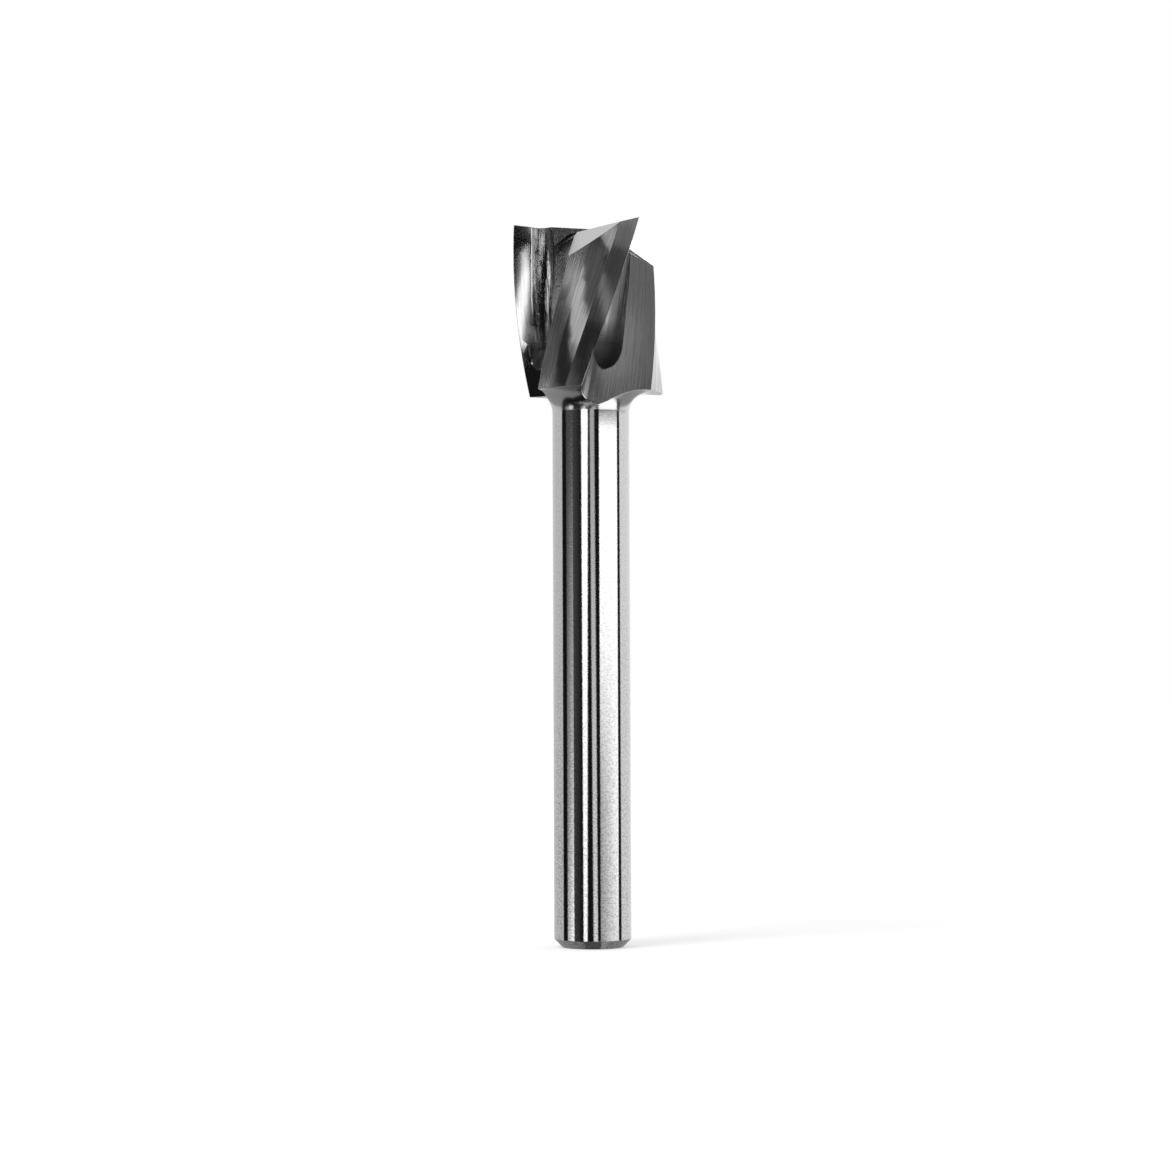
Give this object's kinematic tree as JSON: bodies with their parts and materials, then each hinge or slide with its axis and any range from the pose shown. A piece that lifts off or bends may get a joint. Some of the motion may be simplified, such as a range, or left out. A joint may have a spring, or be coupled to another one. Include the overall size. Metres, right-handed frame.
{
  "type": "spiral router bit",
  "caption": "Solid router bit with a helically fluted cutting head on a thinner, plain round shank with a chamfered end, for side and plunge milling.",
  "frame": {"origin": "centre of the shank's flat end face, the end that goes into the collet", "axes": "+Z along the bit's axis, from the shank end towards the cutting end; -Y is the side the picture shows"},
  "size_m": [0.0116, 0.0116, 0.056],
  "materials": {
    "ground_steel": "ground high-speed steel: flutes and lands with fine grinding lines, shank ground and polished"
  },
  "bodies": {
    "root": {"router_bit": "ground_steel"}
  },
  "joints": []
}
